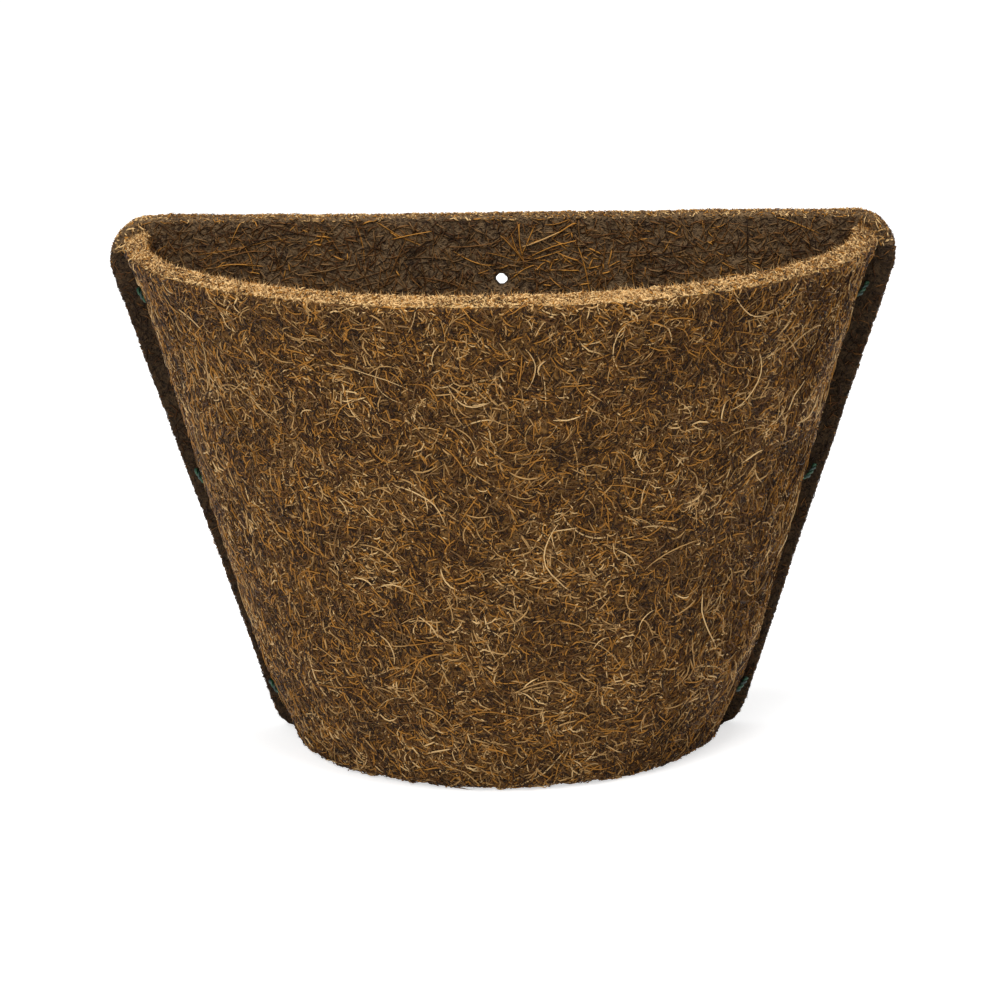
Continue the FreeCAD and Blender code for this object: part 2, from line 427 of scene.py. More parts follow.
# %% [markdown]
# ## Two trees for all the strands
# A strand lies on the felt as a curved, wavering line, dips under its neighbours and comes up again. The exported
# model can't hold hair particles, so a Geometry Nodes tree scatters points on the felt and puts a blank there: a
# three-sided spindle, which is closed and needs only six triangles for each ring along it. The blank's rings are
# then moved to a wavering arc and pressed on the felt at the strand's own height. Where a strand would run past a
# cut edge it goes down into the felt, and near the hanging hole it is kept too short to cross it. Carding and the
# mould leave drifts of strands that run nearly the same way, so a slow noise sets the heading and each strand turns
# only some way off it. Spread says how far, and a spread of one turn gives no drifts. Where a knife cut the felt,
# fibre ends stand up as short spikes, and a second, simpler tree makes those.

# %% Tools for the strand trees
SEED_STEP = 11.0
ALMOST_ONE = 0.999
END_REACH = (85 * MM, 145 * MM)              # from the pot's middle, where its ends start to darken and stop
PATCHES = ((26 * MM, 0.6), (8 * MM, 0.5))    # how large the mottled patches are, and how strong
VECTOR_NOTES = ("root", "up", "along", "ring")
NUMBER_NOTES = ("span", "turn", "shade", "lift", "tilt", "girth", "t")
NOTES = dict.fromkeys(VECTOR_NOTES, "FLOAT_VECTOR") | dict.fromkeys(NUMBER_NOTES, "FLOAT")


def chance(tree, given, number, low=0.0, high=1.0):
    """An even random value between low and high for each root, different for each number."""
    seed = add(tree, MATH, {0: given["Seed"], 1: SEED_STEP, 2: float(number)}, operation="MULTIPLY_ADD")
    even = add(tree, "FunctionNodeRandomValue", {"Seed": seed}).outputs[1]
    return add(tree, "ShaderNodeMapRange", {"Value": even, "To Min": low, "To Max": high}).outputs[0]


def mottled_shade(tree, given, number):
    """A strand's shade, 0 dark to 1 pale. Patches of the mat run darker or paler, and the pot's ends darker."""
    shade = chance(tree, given, number, given["Darkest"], given["Palest"])
    for size, strength in PATCHES:
        noise = add(tree, "ShaderNodeTexNoise", {"Scale": 1 / size, "Detail": 1.0})
        shift = add(tree, MATH, {0: noise, 1: 0.5}, operation="SUBTRACT")
        uneven = add(tree, MATH, {0: shift, 1: given["Mottling"]}, operation="MULTIPLY")
        shade = add(tree, MATH, {0: uneven, 1: strength, 2: shade}, operation="MULTIPLY_ADD").outputs[0]
    across = add(tree, "ShaderNodeSeparateXYZ", {0: add(tree, "GeometryNodeInputPosition")})
    from_middle = add(tree, MATH, {0: across.outputs["X"]}, operation="ABSOLUTE")
    darker = add(tree, "ShaderNodeMapRange", {"Value": from_middle, "From Min": END_REACH[0],
                                              "From Max": END_REACH[1], "To Max": given["Dark ends"]})
    shaded = add(tree, MATH, {0: shade, 1: darker}, operation="SUBTRACT")
    return add(tree, "ShaderNodeClamp", {"Value": shaded, "Max": ALMOST_ONE}).outputs[0]


def note(tree, geometry, **values):
    """Writes values on the points, for use once the blanks are in place."""
    for name, value in values.items():
        geometry = add(tree, "GeometryNodeStoreNamedAttribute", {"Geometry": geometry, "Name": name, "Value": value},
                       data_type=NOTES[name], domain="POINT")
    return geometry


def paint_by_shade(tree, geometry, shade):
    """Realises the strands and gives each the material of its shade."""
    real = add(tree, "GeometryNodeRealizeInstances", {"Geometry": geometry})
    step = add(tree, MATH, {0: shade, 1: float(len(strand_shades))}, operation="MULTIPLY")
    for number, material in enumerate(strand_shades):
        chosen = add(tree, MATH, {0: step, 1: number + 0.5, 2: 0.5}, operation="COMPARE")
        real = add(tree, "GeometryNodeSetMaterial", {"Geometry": real, "Selection": chosen, "Material": material})
    return real


# %% The tree of lying strands
LYING = {"Density": 10000.0, "Shortest": 3 * MM, "Longest": 9 * MM, "Bend": 1.6, "Spread": 1.0, "Drift": 28 * MM,
         "Star": 0.0, "Waver": 1.5 * MM, "Waver size": 9 * MM, "Thickness": 0.48 * MM, "Lift": 0.6 * MM,
         "Tilt": 0.25, "Darkest": 0.0, "Palest": 1.0, "Mottling": 0.85, "Dark ends": 0.0, "Hole": 0.0,
         "Floor": foot_z + 0.05 * MM}
NOT_LEVEL = (0.21, 0.13, 0.97)    # a direction that no root points along
DRIFT_TURNS = 1.3
STAR_CENTRE = Vector((8 * MM, front_y, 9 * MM))
MOSTLY_SHORT = 1.7                # a power: over 1, short strands are more common
MOSTLY_FLAT = 3.0                 # the same for strands that stand off less
GIRTHS = (0.65, 1.35)             # of the coat's thickness
HALF_WIDTHS = (0.42, 0.6)         # of the girth, dark strands to pale ones
LEAST_LIFT = 0.1 * MM
LEAST_SPAN = 0.4 * MM
NO_HOLE = 0.1 * MM
OWN_WAVER = 40.0                  # takes each strand's noise far from the next one's
ENDS_DIP = -1.3                   # of the lift, at both ends
WEAVE = 1.2                       # of the lift, up and down along the strand
EDGE_DIP = 2 * MM
TAPER = 0.4                       # a power: under 1, a strand stays full nearly to its ends


def lying_tree():
    """Scatters strands of every size, which lie on the felt."""
    tree, given = start_tree("lying_strands", LYING, {"Rings": "Int", "Seed": "Int"})

    # Roots, each with its own heading, length, turn, shade, lift and tilt
    scattered = add(tree, "GeometryNodeDistributePointsOnFaces",
                    {"Mesh": given["Geometry"], "Density": given["Density"], "Seed": given["Seed"]})
    up = scattered.outputs["Normal"]
    here = add(tree, "GeometryNodeInputPosition")
    drift_scale = add(tree, MATH, {0: 1.0, 1: given["Drift"]}, operation="DIVIDE")
    drift = add(tree, "ShaderNodeTexNoise", {"Scale": drift_scale, "Detail": 1.0})
    drift_turn = add(tree, MATH, {0: drift, 1: DRIFT_TURNS}, operation="MULTIPLY")
    own_turn = add(tree, MATH, {0: chance(tree, given, 1), 1: given["Spread"], 2: drift_turn},
                   operation="MULTIPLY_ADD")
    heading = add(tree, MATH, {0: own_turn, 1: 2 * math.pi}, operation="MULTIPLY")
    sideways = add(tree, VECTOR_MATH, {0: NOT_LEVEL, 1: up}, operation="CROSS_PRODUCT")
    level = add(tree, VECTOR_MATH, {0: sideways}, operation="NORMALIZE")
    turned = add(tree, "ShaderNodeVectorRotate", {"Vector": level, "Axis": up, "Angle": heading})
    from_star = add(tree, VECTOR_MATH, {0: here, 1: STAR_CENTRE}, operation="SUBTRACT")
    outward_ray = add(tree, VECTOR_MATH, {0: from_star}, operation="NORMALIZE")
    ray_or_turn = add(tree, VECTOR_MATH, {0: outward_ray, 1: given["Star"], 2: turned}, operation="MULTIPLY_ADD")
    along = add(tree, VECTOR_MATH, {0: ray_or_turn}, operation="NORMALIZE")
    mostly_short = add(tree, MATH, {0: chance(tree, given, 2), 1: MOSTLY_SHORT}, operation="POWER")
    wanted = add(tree, "ShaderNodeMapRange", {"Value": mostly_short, "To Min": given["Shortest"],
                                              "To Max": given["Longest"]})

    # Near the hanging hole a strand is only as long as the felt between its root and the hole allows. A coat
    # without a hole has a metre of room
    root_flat = add(tree, VECTOR_MATH, {0: here, 1: WITHOUT_Y}, operation="MULTIPLY")
    root_off_axis = add(tree, VECTOR_MATH, {0: root_flat}, operation="LENGTH")
    free = add(tree, MATH, {0: root_off_axis.outputs["Value"], 1: given["Hole"]}, operation="SUBTRACT")
    no_hole = add(tree, MATH, {0: given["Hole"], 1: NO_HOLE}, operation="LESS_THAN")
    room = add(tree, MATH, {0: free, 1: 2.0, 2: no_hole}, operation="MULTIPLY_ADD")
    some_room = add(tree, MATH, {0: room, 1: LEAST_SPAN}, operation="MAXIMUM")
    span = add(tree, MATH, {0: wanted, 1: some_room}, operation="MINIMUM")
    least_turn = add(tree, MATH, {0: given["Bend"], 1: -1.0}, operation="MULTIPLY")
    tilt_chance = add(tree, MATH, {0: chance(tree, given, 6), 1: MOSTLY_FLAT}, operation="POWER")
    tilt = add(tree, MATH, {0: tilt_chance, 1: given["Tilt"]}, operation="MULTIPLY")
    roots = note(tree, scattered, root=here, up=up, along=along, span=span, tilt=tilt,
                 turn=chance(tree, given, 3, least_turn, given["Bend"]), shade=mottled_shade(tree, given, 4),
                 lift=chance(tree, given, 5, LEAST_LIFT, given["Lift"]), girth=chance(tree, given, 7, *GIRTHS))

    # The blank: t runs from 0 to 1 along it, and ring points from its middle line to its skin
    cone = add(tree, "GeometryNodeMeshCone", {"Vertices": 3, "Side Segments": given["Rings"], "Radius Top": 0.0,
                                              "Radius Bottom": 1.0, "Depth": 1.0}, fill_type="TRIANGLE_FAN")
    place = add(tree, "ShaderNodeSeparateXYZ", {0: here})
    skin_direction = add(tree, "ShaderNodeCombineXYZ", {"X": place.outputs["X"], "Y": place.outputs["Y"]})
    ring = add(tree, VECTOR_MATH, {0: skin_direction}, operation="NORMALIZE")
    ring_size = add(tree, VECTOR_MATH, {0: ring}, operation="LENGTH")
    far_end = add(tree, MATH, {0: place.outputs["Z"], 1: ALMOST_ONE}, operation="GREATER_THAN")
    not_near_end = add(tree, MATH, {0: ring_size.outputs["Value"], 1: far_end}, operation="MAXIMUM")
    ring_number = add(tree, MATH, {0: place.outputs["Z"], 1: given["Rings"], 2: 1.0}, operation="MULTIPLY_ADD")
    steps = add(tree, MATH, {0: given["Rings"], 1: 1.0}, operation="ADD")
    ring_share = add(tree, MATH, {0: ring_number, 1: steps}, operation="DIVIDE")
    share = add(tree, MATH, {0: ring_share, 1: not_near_end}, operation="MULTIPLY")
    blank = note(tree, cone, t=share, ring=ring)
    placed = add(tree, "GeometryNodeInstanceOnPoints", {"Points": roots, "Instance": blank})
    blanks = add(tree, "GeometryNodeRealizeInstances", {"Geometry": placed})
    noted = {name: add(tree, "GeometryNodeInputNamedAttribute", {"Name": name}, data_type=kind)
             for name, kind in NOTES.items()}

    # Its middle line: an arc in the plane of the felt, made to waver
    part = add(tree, MATH, {0: noted["t"], 1: 0.5}, operation="SUBTRACT")
    angle = add(tree, MATH, {0: part, 1: noted["turn"]}, operation="MULTIPLY")
    radius = add(tree, MATH, {0: noted["span"], 1: noted["turn"]}, operation="DIVIDE")
    sine = add(tree, MATH, {0: angle}, operation="SINE")
    cosine = add(tree, MATH, {0: angle}, operation="COSINE")
    forward = add(tree, MATH, {0: sine, 1: radius}, operation="MULTIPLY")
    rise = add(tree, MATH, {0: 1.0, 1: cosine}, operation="SUBTRACT")
    aside = add(tree, MATH, {0: rise, 1: radius}, operation="MULTIPLY")
    across = add(tree, VECTOR_MATH, {0: noted["up"], 1: noted["along"]}, operation="CROSS_PRODUCT")
    ahead = add(tree, VECTOR_MATH, {0: noted["along"], 1: forward, 2: noted["root"]}, operation="MULTIPLY_ADD")
    arc = add(tree, VECTOR_MATH, {0: across, 1: aside, 2: ahead}, operation="MULTIPLY_ADD")
    own_noise = add(tree, MATH, {0: noted["turn"], 1: OWN_WAVER}, operation="MULTIPLY")
    waver_scale = add(tree, MATH, {0: 1.0, 1: given["Waver size"]}, operation="DIVIDE")
    waver_noise = add(tree, "ShaderNodeTexNoise", {"Vector": arc, "W": own_noise, "Scale": waver_scale,
                                                   "Detail": 1.0}, noise_dimensions="4D")
    centred = add(tree, VECTOR_MATH, {0: waver_noise.outputs["Color"], 1: (0.5,) * 3}, operation="SUBTRACT")
    middle_line = add(tree, VECTOR_MATH, {0: centred, 1: given["Waver"], 2: arc}, operation="MULTIPLY_ADD")

    # Pressed on the felt, with its ends tucked in, or one of them standing off
    nearest = add(tree, "GeometryNodeProximity",
                  {0: given["Geometry"], "Sample Position": middle_line}, target_element="FACES")
    facing = add(tree, "GeometryNodeSampleNearestSurface",
                 {"Mesh": given["Geometry"], "Value": add(tree, "GeometryNodeInputNormal"),
                  "Sample Position": middle_line}, data_type="FLOAT_VECTOR")
    away = add(tree, VECTOR_MATH, {0: middle_line, 1: nearest.outputs["Position"]}, operation="SUBTRACT")
    above = add(tree, VECTOR_MATH, {0: away, 1: facing}, operation="DOT_PRODUCT")
    upright = add(tree, VECTOR_MATH, {0: facing, "Scale": above.outputs["Value"]}, operation="SCALE")
    beside = add(tree, VECTOR_MATH, {0: away, 1: upright}, operation="SUBTRACT")
    past_edge = add(tree, VECTOR_MATH, {0: beside}, operation="LENGTH")
    doubled = add(tree, MATH, {0: part, 1: 2.0}, operation="MULTIPLY")
    squared = add(tree, MATH, {0: doubled, 1: doubled}, operation="MULTIPLY")
    tucked = add(tree, MATH, {0: squared, 1: ENDS_DIP, 2: 1.0}, operation="MULTIPLY_ADD")
    weave = add(tree, MATH, {0: waver_noise.outputs["Fac"], 1: WEAVE, 2: -WEAVE / 2}, operation="MULTIPLY_ADD")
    over_under = add(tree, MATH, {0: tucked, 1: weave}, operation="ADD")
    lying = add(tree, MATH, {0: over_under, 1: noted["lift"]}, operation="MULTIPLY")
    slope = add(tree, MATH, {0: part, 1: noted["tilt"]}, operation="MULTIPLY")
    raised = add(tree, MATH, {0: slope, 1: noted["span"], 2: lying}, operation="MULTIPLY_ADD")
    sunk = add(tree, MATH, {0: past_edge.outputs["Value"], 1: EDGE_DIP}, operation="MINIMUM")
    height = add(tree, MATH, {0: raised, 1: sunk}, operation="SUBTRACT")
    pressed = add(tree, VECTOR_MATH, {0: facing, 1: height, 2: nearest.outputs["Position"]},
                  operation="MULTIPLY_ADD")

    # Its skin: each ring stands square to the middle line
    back_cosine = add(tree, VECTOR_MATH, {0: across, "Scale": cosine}, operation="SCALE")
    minus_sine = add(tree, MATH, {0: sine, 1: -1.0}, operation="MULTIPLY")
    aside_line = add(tree, VECTOR_MATH, {0: noted["along"], 1: minus_sine, 2: back_cosine}, operation="MULTIPLY_ADD")
    bulge = add(tree, MATH, {0: squared, 1: -1.0, 2: 1.0}, operation="MULTIPLY_ADD")
    fullness = add(tree, MATH, {0: bulge, 1: TAPER}, operation="POWER")
    own_width = add(tree, "ShaderNodeMapRange", {"Value": noted["shade"], "To Min": HALF_WIDTHS[0],
                                                 "To Max": HALF_WIDTHS[1]})
    thickness = add(tree, MATH, {0: noted["girth"], 1: given["Thickness"]}, operation="MULTIPLY")
    half_width = add(tree, MATH, {0: own_width, 1: thickness}, operation="MULTIPLY")
    reach = add(tree, MATH, {0: fullness, 1: half_width}, operation="MULTIPLY")
    ring_parts = add(tree, "ShaderNodeSeparateXYZ", {0: noted["ring"]})
    outward = add(tree, VECTOR_MATH, {0: facing, "Scale": ring_parts.outputs["Y"]}, operation="SCALE")
    skin = add(tree, VECTOR_MATH, {0: aside_line, 1: ring_parts.outputs["X"], 2: outward}, operation="MULTIPLY_ADD")
    body = add(tree, VECTOR_MATH, {0: skin, 1: reach, 2: pressed}, operation="MULTIPLY_ADD")

    # Round the hanging hole, and no lower than what the pot stands on
    flat = add(tree, VECTOR_MATH, {0: body, 1: WITHOUT_Y}, operation="MULTIPLY")
    from_axis = add(tree, VECTOR_MATH, {0: flat}, operation="LENGTH")
    push_share = add(tree, MATH, {0: given["Hole"], 1: from_axis.outputs["Value"]}, operation="DIVIDE")
    push = add(tree, MATH, {0: push_share, 1: 1.0}, operation="MAXIMUM")
    pushes = add(tree, "ShaderNodeCombineXYZ", {"X": push, "Y": 1.0, "Z": push})
    cleared = add(tree, VECTOR_MATH, {0: body, 1: pushes}, operation="MULTIPLY")
    laid = add(tree, "GeometryNodeSetPosition", {"Geometry": blanks,
                                                 "Position": stood_on_floor(tree, given, cleared)})
    smooth = add(tree, "GeometryNodeSetShadeSmooth", {"Geometry": laid})
    add(tree, "NodeGroupOutput", {0: paint_by_shade(tree, smooth, noted["shade"])})
    return tree


lying_strands = lying_tree()
print(lying_strands.name, "has", len(lying_strands.nodes), "nodes")

# %% The tree of cut ends
CUT_ENDS = {"Density": 10000.0, "Shortest": 0.6 * MM, "Longest": 2 * MM, "Thickness": 0.35 * MM, "Lean": 0.9,
            "Darkest": 0.3, "Palest": 1.0, "Mottling": 0.5, "Dark ends": 0.0}
SPIKE_RADIUS = 0.6           # of the coat's thickness
ROOTED = (0.0, 0.0, -0.3)    # of a spike's length, down into the felt


def cut_ends_tree():
    """Scatters short straight spikes, which lean this way and that."""
    tree, given = start_tree("cut_ends", CUT_ENDS, {"Seed": "Int"})
    scattered = add(tree, "GeometryNodeDistributePointsOnFaces",
                    {"Mesh": given["Geometry"], "Density": given["Density"], "Seed": given["Seed"]})
    lean = add(tree, "ShaderNodeCombineXYZ", {axis: chance(tree, given, number, -1.0, 1.0)
                                              for axis, number in (("X", 1), ("Y", 2), ("Z", 3))})
    direction = add(tree, VECTOR_MATH, {0: lean, 1: given["Lean"], 2: scattered.outputs["Normal"]},
                    operation="MULTIPLY_ADD")
    turned = add(tree, "FunctionNodeAlignRotationToVector", {"Vector": direction}, axis="Z")
    length = chance(tree, given, 5, given["Shortest"], given["Longest"])
    size = add(tree, "ShaderNodeCombineXYZ", {"X": given["Thickness"], "Y": given["Thickness"], "Z": length})
    roots = note(tree, scattered, shade=mottled_shade(tree, given, 4))
    spike = add(tree, "GeometryNodeMeshCone", {"Vertices": 3, "Radius Top": 0.0, "Radius Bottom": SPIKE_RADIUS,
                                               "Depth": 1.0}, fill_type="TRIANGLE_FAN")
    rooted = add(tree, "GeometryNodeTransform", {"Geometry": spike, "Translation": ROOTED})
    placed = add(tree, "GeometryNodeInstanceOnPoints", {"Points": roots, "Instance": rooted,
                                                        "Rotation": turned, "Scale": size})
    shade = add(tree, "GeometryNodeInputNamedAttribute", {"Name": "shade"}, data_type=NOTES["shade"])
    add(tree, "NodeGroupOutput", {0: paint_by_shade(tree, placed, shade)})
    return tree


cut_ends = cut_ends_tree()
print(cut_ends.name, "has", len(cut_ends.nodes), "nodes")

# %% [markdown]
# ## The coats
# The pot gets a dense coat of short broken bits, then curled strands, and at last a few long pale ones, in the order
# in which the eye finds them on the real felt from the back to the front. The panel's strands run darker. The coats
# inside the pot, on the panel's margins and on its side edges run darker, as painted shade. A table holds what
# each coat needs: its name, its sheet of felt, the rings of its blanks (none for cut ends), how many strands there
# are on a square metre, their lengths in millimetres, their shades from dark to pale, their seed, and what else
# differs from the tree's own sizes.

# %% The table of coats
ROUND_HOLE = {"Hole": 2.9 * MM}
outside, inside, rim = shell_sheets["outside"], shell_sheets["inside"], shell_sheets["rim"]
front, back = panel_sheets["front"], panel_sheets["back"]
COATS = [("shell_bits", outside, 2, 190000, (2.5, 7), (-0.2, 0.72), 11, {"Spread": 0.45, "Lift": 0.4 * MM})]
for number in (1, 2, 3):
    COATS.append(("shell_strands_%d" % number, outside, 3, 122000, (4, 13), (-0.12, 0.85), 50 + number,
                  {"Bend": 2.3, "Spread": 0.4, "Waver": 2.6 * MM, "Waver size": 7 * MM,
                   "Lift": (0.45 + 0.12 * number) * MM, "Thickness": 0.46 * MM, "Mottling": 0.75}))
COATS += [
    ("shell_specks", outside, 1, 270000, (1.5, 4), (-0.25, 0.95), 14,
     {"Spread": 0.6, "Lift": 0.8 * MM, "Tilt": 0.5}),
    ("shell_curls", outside, 5, 50000, (5, 18), (0.0, 0.88), 15,
     {"Bend": 3.2, "Spread": 0.5, "Waver": 2.5 * MM, "Waver size": 8 * MM, "Lift": 0.9 * MM,
      "Thickness": 0.44 * MM, "Mottling": 0.65}),
    ("shell_long_strands", outside, 10, 4500, (14, 44), (0.4, 0.98), 16,
     {"Bend": 2.6, "Waver": 6 * MM, "Waver size": 20 * MM, "Lift": 1.1 * MM, "Tilt": 0.04, "Thickness": 0.44 * MM}),
    ("shell_foot_bits", frayed["foot"], 2, 300000, (2, 8), (-0.2, 0.7), 28, {"Lift": 1.3 * MM, "Tilt": 0.9}),
    ("shell_lip_bits", frayed["lip"], 2, 160000, (2, 6), (0.25, 1.0), 32,
     {"Lift": 0.9 * MM, "Tilt": 0.8, "Dark ends": 0.4}),
    # The coats inside the pot run darker than those outside: painted shade in the pot's hollow
    ("shell_inner_bits", inside, 2, 125000, (4, 11), (-0.25, 0.55), 17, {}),
    ("shell_inner_curls", inside, 5, 30000, (8, 24), (-0.1, 0.7), 18, {"Bend": 2.0, "Lift": 0.9 * MM, "Tilt": 0.08}),
    ("rim_bits", rim, 2, 1300000, (1.5, 5), (0.1, 1.4), 19,
     {"Thickness": 0.55 * MM, "Tilt": 0.8, "Mottling": 1.3, "Dark ends": 0.3}),
    ("rim_cut_ends", rim, 0, 1200000, (0.6, 2.6), (0.3, 1.4), 20,
     {"Thickness": 0.5 * MM, "Mottling": 1.2, "Dark ends": 0.35}),
    ("rim_bristles", rim, 0, 700000, (1.5, 5), (0.5, 1.3), 29, {"Thickness": 0.34 * MM, "Dark ends": 0.35}),
    ("panel_front_bits", front, 2, 280000, (4, 11), (0.08, 0.58), 21,
     ROUND_HOLE | {"Bend": 1.2, "Spread": 0.45, "Mottling": 0.6}),
    ("panel_front_strands", front, 7, 16000, (10, 42), (0.0, 0.68), 22,
     ROUND_HOLE | {"Bend": 1.2, "Waver": 3 * MM, "Waver size": 18 * MM, "Lift": 0.8 * MM, "Tilt": 0.03,
                   "Thickness": 0.42 * MM, "Mottling": 0.6}),
    ("panel_tuft", tuft, 10, 24000, (14, 36), (0.6, 0.75), 30,
     ROUND_HOLE | {"Bend": 0.8, "Star": 3.0, "Waver": 3 * MM, "Waver size": 20 * MM, "Lift": 1.4 * MM,
                   "Tilt": 0.05, "Mottling": 0.1}),
    # The margins' strands run near black: painted shade beside the pot
    ("panel_margin_bits", panel_sheets["margin"], 2, 260000, (3, 9), (-0.3, 0.36), 31, {"Mottling": 0.6}),
    ("panel_back_bits", back, 2, 200000, (4, 12), (-0.1, 0.75), 23, ROUND_HOLE | {"Lift": 0.5 * MM, "Tilt": 0.1}),
    ("panel_back_curls", back, 6, 20000, (8, 30), (0.2, 0.95), 24,
     ROUND_HOLE | {"Bend": 2.4, "Lift": 0.5 * MM, "Tilt": 0.03}),
    ("panel_fringe", panel_sheets["fringe"], 2, 600000, (2, 6), (0.3, 1.0), 27, {"Lift": 0.9 * MM, "Tilt": 0.8})]
# The side edges' strands run darker than the top's: painted shade on the side edges
for number, side, shades in ((1, "top", (0.2, 1.0)), (2, "edge", (-0.2, 0.6))):
    COATS += [("panel_%s_bits" % side, panel_sheets[side], 1, 700000, (1.5, 5), shades, 24 + number,
               {"Lift": 0.5 * MM, "Tilt": 0.6}),
              ("panel_%s_cut_ends" % side, panel_sheets[side], 0, 900000, (0.6, 2), shades, 40 + number,
               {"Lean": 1.2})]

# %% Grow the coats
for name, sheet, rings, density, lengths, shades, seed, rest in COATS:
    sizes = {"Rings": rings, "Density": float(density), "Shortest": lengths[0] * MM, "Longest": lengths[1] * MM,
             "Darkest": shades[0], "Palest": shades[1], "Seed": seed} | rest
    piece = grow(new_object(name + "_ground", sheet), lying_strands if rings else cut_ends, sizes, name)
    for title in NOTES:
        if title in piece.data.attributes:
            piece.data.attributes.remove(piece.data.attributes[title])
    slot = "coir_panel" if name.startswith("panel") else "coir_shell"
    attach(piece, "root")
    print(name, triangles(piece), "triangles")

for felt, node, slot in ((shell_felt, "front_shell", "coir_shell"), (panel_felt, "back_panel", "coir_panel")):
    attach(felt, "root")
    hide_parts(node)

# %% [markdown]
# ## The twine ties
# The pot is stitched to the panel with short loops of green twine, two plies twisted together, each knotted inside
# the pot. A loop is a smooth spline through the holes of its tie, a knot is a trefoil, and the tails end loose. One
# Geometry Nodes tree turns any such line into twisted plies: it follows the line, and winds each ply round it.

# %% The twine's materials
FILAMENT_SIZE = 0.5 * MM
FILAMENT_RELIEF = 0.1 * MM


def twine_material(name, dark, pale):
    """Drawn polypropylene twine: smooth dielectric filaments, a little paler where they catch wear."""
    material, shader = new_material(name, {"Roughness": 0.45, "IOR": 1.49})
    tree = material.node_tree
    place = add(tree, "ShaderNodeTexCoord").outputs["Object"]
    filaments = add(tree, "ShaderNodeTexNoise", {"Vector": place, "Scale": 1 / FILAMENT_SIZE, "Detail": 2.0})
    ramp = add(tree, "ShaderNodeMapRange", {"Value": filaments, "From Min": 0.35, "From Max": 0.65})
    shown = add(tree, "ShaderNodeMix", {0: ramp, 6: colour(dark), 7: colour(pale)}, data_type="RGBA")
    bump = add(tree, "ShaderNodeBump", {"Height": filaments, "Strength": 0.4, "Distance": FILAMENT_RELIEF})
    tree.links.new(shown.outputs[2], shader.inputs["Base Color"])
    tree.links.new(bump.outputs["Normal"], shader.inputs["Normal"])
    return material


ply_materials = [twine_material("green_twine_green_ply", "#0a2412", "#1d5834"),
                 twine_material("green_twine_teal_ply", "#0f211c", "#2e4c42")]
print(len(ply_materials), "plies of twine")

# %% The tree of twisted plies
PLY_RADIUS = 0.27     # of the twine's width, and so is the next
PLY_OFF_LINE = 0.25
LOOSENING = 4.0       # a power: the higher, the nearer to a tail's end the plies part
PLY_CORNERS = 6


def twisted_tree():
    """Winds two plies round a line."""
    sizes = {"Width": 1.8 * MM, "Lay length": 4.5 * MM, "Step": 0.4 * MM, "Fray": 0.0}
    tree, given = start_tree("twisted_twine", sizes, {})
    line = add(tree, "GeometryNodeResampleCurve", {"Curve": given["Geometry"], "Length": given["Step"]},
               mode="LENGTH")
    spline = add(tree, "GeometryNodeSplineParameter").outputs
    turns = add(tree, MATH, {0: spline["Length"], 1: given["Lay length"]}, operation="DIVIDE")
    normal = add(tree, "GeometryNodeInputNormal")
    side = add(tree, VECTOR_MATH, {0: add(tree, "GeometryNodeInputTangent"), 1: normal}, operation="CROSS_PRODUCT")
    loosened = add(tree, MATH, {0: spline["Factor"], 1: LOOSENING}, operation="POWER")
    frayed = add(tree, MATH, {0: loosened, 1: given["Fray"], 2: PLY_OFF_LINE}, operation="MULTIPLY_ADD")
    winding = add(tree, MATH, {0: frayed, 1: given["Width"]}, operation="MULTIPLY")
    ply_radius = add(tree, MATH, {0: given["Width"], 1: PLY_RADIUS}, operation="MULTIPLY")
    profile = add(tree, "GeometryNodeCurvePrimitiveCircle", {"Resolution": PLY_CORNERS, "Radius": ply_radius})
    plies = add(tree, "GeometryNodeJoinGeometry")
    for number, material in enumerate(ply_materials):
        angle = add(tree, MATH, {0: turns, 1: 2 * math.pi, 2: math.pi * number}, operation="MULTIPLY_ADD")
        cosine = add(tree, MATH, {0: angle}, operation="COSINE")
        sine = add(tree, MATH, {0: angle}, operation="SINE")
        part = add(tree, VECTOR_MATH, {0: side, "Scale": sine}, operation="SCALE")
        round_line = add(tree, VECTOR_MATH, {0: normal, 1: cosine, 2: part}, operation="MULTIPLY_ADD")
        offset = add(tree, VECTOR_MATH, {0: round_line, "Scale": winding}, operation="SCALE")
        ply = add(tree, "GeometryNodeSetPosition", {"Geometry": line, "Offset": offset})
        tube = add(tree, "GeometryNodeCurveToMesh", {"Curve": ply, "Profile Curve": profile, "Fill Caps": True})
        smooth = add(tree, "GeometryNodeSetShadeSmooth", {"Geometry": tube})
        real = add(tree, "GeometryNodeRealizeInstances", {"Geometry": smooth})
        painted = add(tree, "GeometryNodeSetMaterial", {"Geometry": real, "Material": material})
        tree.links.new(painted.outputs[0], plies.inputs[0])
    add(tree, "NodeGroupOutput", {0: plies})
    return tree


twisted_twine = twisted_tree()
print(twisted_twine.name, "has", len(twisted_twine.nodes), "nodes")

# %% Where each tie runs, in millimetres
STITCH_RISE = 3.5
OFF_FACE = 1.25
POT_HOLE_Y = -13
PANEL_FACE_Y = -9.25
GROOVE_Y = -1.1
OUTER_HOLE = 3.2          # from the pot's wall out to the panel's hole
INNER_HOLE = 5            # and from its inside in
BASE_X = 36
UNDER_BASE = 1.1          # this and the next two are heights above the foot
ABOVE_POT_FLOOR = 11.25
BASE_HOLE = 15
SIDE_LEVELS = (("upper", -4, 10.4), ("middle", -75, 10.4), ("lower", -160, 10.8))    # height, and wall across


def side_stitch(side, z, wall_across):
    """The loop of a tie across the seam at one side, and its tails' directions."""
    low, high = z - STITCH_RISE / 2, z + STITCH_RISE / 2
    out_low, out_high = wall_radius(low), wall_radius(high)
    outer, inner = out_high + OUTER_HOLE, out_high - wall_across - INNER_HOLE
    loop = [(out_low - wall_across - OFF_FACE, POT_HOLE_Y, low), (out_low + OFF_FACE, POT_HOLE_Y, low),
            (outer, PANEL_FACE_Y, high), (outer, GROOVE_Y, high), (inner, GROOVE_Y, high),
            (inner, PANEL_FACE_Y, high)]
    return [(side * x, y, height) for x, y, height in loop], [(-side, -0.6, 0.5), (-side, -0.9, -0.4)]


